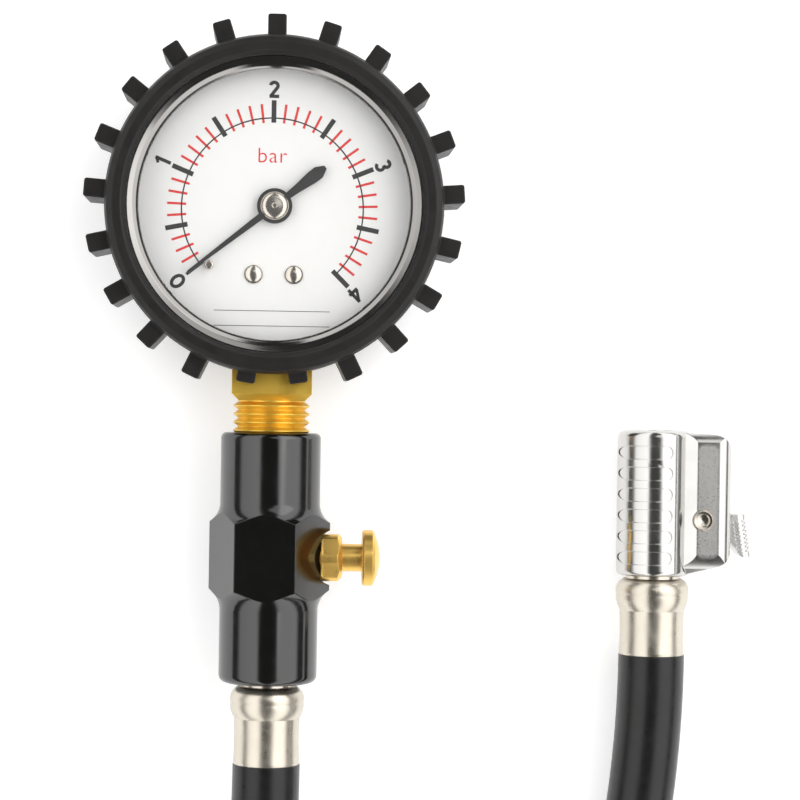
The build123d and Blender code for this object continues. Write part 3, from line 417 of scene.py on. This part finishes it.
def text_piece(name, text, size, mat, place, bold=0.0, space=1.0, shear=0.0):
    cu = bpy.data.curves.new(name, "FONT")
    cu.body = text
    cu.size = size * MM
    cu.align_x = "CENTER"
    cu.align_y = "CENTER"
    cu.offset = bold * MM
    cu.extrude = 0.012 * MM
    cu.space_character = space
    cu.shear = shear
    cu.resolution_u = 8
    ob = link(bpy.data.objects.new(name + "_t", cu))
    dg = bpy.context.evaluated_depsgraph_get()
    me = bpy.data.meshes.new_from_object(ob.evaluated_get(dg))
    bpy.data.objects.remove(ob)
    # centre the printed shape itself on the origin
    xs = [v.co.x for v in me.vertices]
    ys = [v.co.y for v in me.vertices]
    me.transform(Matrix.Translation((-(min(xs) + max(xs)) / 2, -(min(ys) + max(ys)) / 2, 0)))
    me.transform(place)
    ob = link(bpy.data.objects.new(name, me))
    ob.data.materials.clear()
    ob.data.materials.append(mat)
    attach(ob, "root")
    return ob


def at(r, deg, z=20.015):
    x, y = polar(r, deg)
    return Matrix.Translation((x * MM, y * MM, z * MM)) @ Matrix.Rotation(radians(-deg), 4, "Z")


def arc_pts(cx, cy, rx, ry, a0, a1, n=20):
    return [(cx + rx * cos(radians(a0 + (a1 - a0) * i / n)), cy + ry * sin(radians(a0 + (a1 - a0) * i / n)))
            for i in range(n + 1)]


def stroke(path, w, closed=False):
    """Flat quads of width w along a path."""
    n = len(path)
    left, right = [], []
    for i in range(n):
        if closed:
            p, q = path[(i - 1) % n], path[(i + 1) % n]
        else:
            p, q = path[max(i - 1, 0)], path[min(i + 1, n - 1)]
        dxy = Vector((q[0] - p[0], q[1] - p[1])).normalized()
        left.append((path[i][0] - dxy.y * w / 2, path[i][1] + dxy.x * w / 2))
        right.append((path[i][0] + dxy.y * w / 2, path[i][1] - dxy.x * w / 2))
    m = n if closed else n - 1
    return [[left[i], right[i], right[(i + 1) % n], left[(i + 1) % n]] for i in range(m)]


SW = 0.205
DIGITS = {
    "0": stroke(arc_pts(0, 0, 0.285, 0.40, 0, 360, 36)[:-1], SW, True),
    "1": stroke([(0.07, -0.5), (0.07, 0.5)], SW + 0.01) + stroke([(0.10, 0.44), (-0.20, 0.22)], SW * 0.85),
    "2": stroke(arc_pts(0, 0.22, 0.225, 0.205, 172, -30) + [(-0.20, -0.40)], SW) + stroke([(-0.29, -0.42), (0.30, -0.42)], SW),
    "3": stroke(arc_pts(0, 0.22, 0.20, 0.195, 150, -88), SW) + stroke(arc_pts(-0.01, -0.195, 0.23, 0.225, 86, -150), SW),
    "4": stroke([(0.12, -0.5), (0.12, 0.5)], SW) + stroke([(0.12, 0.43), (-0.26, -0.16)], SW * 0.85)
    + stroke([(-0.33, -0.20), (0.31, -0.20)], SW)}
for txt, deg, r in (("0", -128.25, 21.3), ("1", -67.5, 21.3), ("2", 0.0, 21.35), ("3", 67.5, 21.3), ("4", 135.0, 21.3)):
    ctr, tilt = polar(r, deg), radians(-deg)
    quads = []
    for quad in DIGITS[txt]:
        quads.append([(ctr[0] + 2.95 * (x * cos(tilt) - y * sin(tilt)), ctr[1] + 2.95 * (x * sin(tilt) + y * cos(tilt)))
                      for x, y in quad])
    prism("dial_numeral_" + txt, quads, ZP0, ZP1, M["ink_black"])
text_piece("dial_unit", "bar", 3.85, M["ink_red"], Matrix.Translation((-0.46 * MM, 9.1 * MM, 20.015 * MM)), bold=-0.03, space=1.08)
# two plain rules low on the dial
prism("dial_rules", [[(-10.6, -18.63), (10.15, -18.63), (10.15, -18.77), (-10.6, -18.77)],
                     [(-10.6, -21.33), (10.15, -21.33), (10.15, -21.47), (-10.6, -21.47)]], ZP0, ZP1 - 0.01,
      M["ink_grey"])

# ------------------------------------------------------------------ floor and light
bm = bmesh.new()
bmesh.ops.create_grid(bm, x_segments=2, y_segments=2, size=3.0)
me = bpy.data.meshes.new("floor")
bm.to_mesh(me)
bm.free()
floor = link(bpy.data.objects.new("floor", me))
m, nt, b = new_mat("floor_paper")
v = coords(nt)
nt.links.new(mix_col(nt, noise(nt, v, 30.0), (0.76, 0.76, 0.76), (0.78, 0.78, 0.78)), b.inputs["Base Color"])
b.inputs["Roughness"].default_value = 0.7
b.inputs["Emission Color"].default_value = (1.0, 1.0, 1.0, 1.0)
b.inputs["Emission Strength"].default_value = 0.38
floor.data.materials.append(m)

world = bpy.data.worlds.new("studio")
scene.world = world
world.use_nodes = True
wt = world.node_tree
for n in list(wt.nodes):
    wt.nodes.remove(n)
wo = wt.nodes.new("ShaderNodeOutputWorld")
bg = wt.nodes.new("ShaderNodeBackground")
tc = wt.nodes.new("ShaderNodeTexCoord")
sx = wt.nodes.new("ShaderNodeSeparateXYZ")
wt.links.new(tc.outputs["Generated"], sx.inputs[0])
# across-object angle: 0 straight up, +1 to the right, -1 to the left
at2 = wt.nodes.new("ShaderNodeMath"); at2.operation = "ARCTAN2"
wt.links.new(sx.outputs["X"], at2.inputs[0])
wt.links.new(sx.outputs["Z"], at2.inputs[1])
mr = wt.nodes.new("ShaderNodeMapRange")
mr.inputs["From Min"].default_value = -pi / 2
mr.inputs["From Max"].default_value = pi / 2
wt.links.new(at2.outputs[0], mr.inputs["Value"])
cr = wt.nodes.new("ShaderNodeValToRGB")
stops = [(0.0, 0.14), (0.075, 0.16), (0.125, 1.5), (0.352, 1.85), (0.39, 0.065), (0.60, 0.06), (0.645, 1.85), (0.875, 1.9),
         (0.925, 0.16), (1.0, 0.14)]
el = cr.color_ramp.elements
while len(el) < len(stops):
    el.new(0.5)
for e, (p, c) in zip(el, stops):
    e.position = p
    e.color = (c / 2, c / 2, c / 2, 1.0)
wt.links.new(mr.outputs["Result"], cr.inputs["Fac"])
sc = wt.nodes.new("ShaderNodeVectorMath"); sc.operation = "SCALE"
sc.inputs["Scale"].default_value = 2.0
wt.links.new(cr.outputs["Color"], sc.inputs[0])
lp = wt.nodes.new("ShaderNodeLightPath")
mx = wt.nodes.new("ShaderNodeMix"); mx.data_type = "RGBA"
wt.links.new(lp.outputs["Is Camera Ray"], mx.inputs["Factor"])
wt.links.new(sc.outputs[0], mx.inputs[6])
mx.inputs[7].default_value = (0.95, 0.95, 0.95, 1.0)
wt.links.new(mx.outputs[2], bg.inputs["Color"])
bg.inputs["Strength"].default_value = 1.0
wt.links.new(bg.outputs[0], wo.inputs[0])

key = bpy.data.lights.new("key", "AREA")
key.shape = "RECTANGLE"
key.size = 0.9
key.size_y = 0.9
key.energy = 2.8
ko = link(bpy.data.objects.new("key", key))
ko.location = (0.50, 0.35, 0.95)
ko.rotation_euler = (Vector((0.0, -0.05, 0.0)) - Vector(ko.location)).to_track_quat("-Z", "Y").to_euler()

fill = bpy.data.lights.new("fill", "AREA")
fill.shape = "RECTANGLE"
fill.size = 1.2
fill.size_y = 1.2
fill.energy = 5.2
fo = link(bpy.data.objects.new("fill", fill))
fo.location = (0.05, -0.05, 1.3)
fo.visible_glossy = False
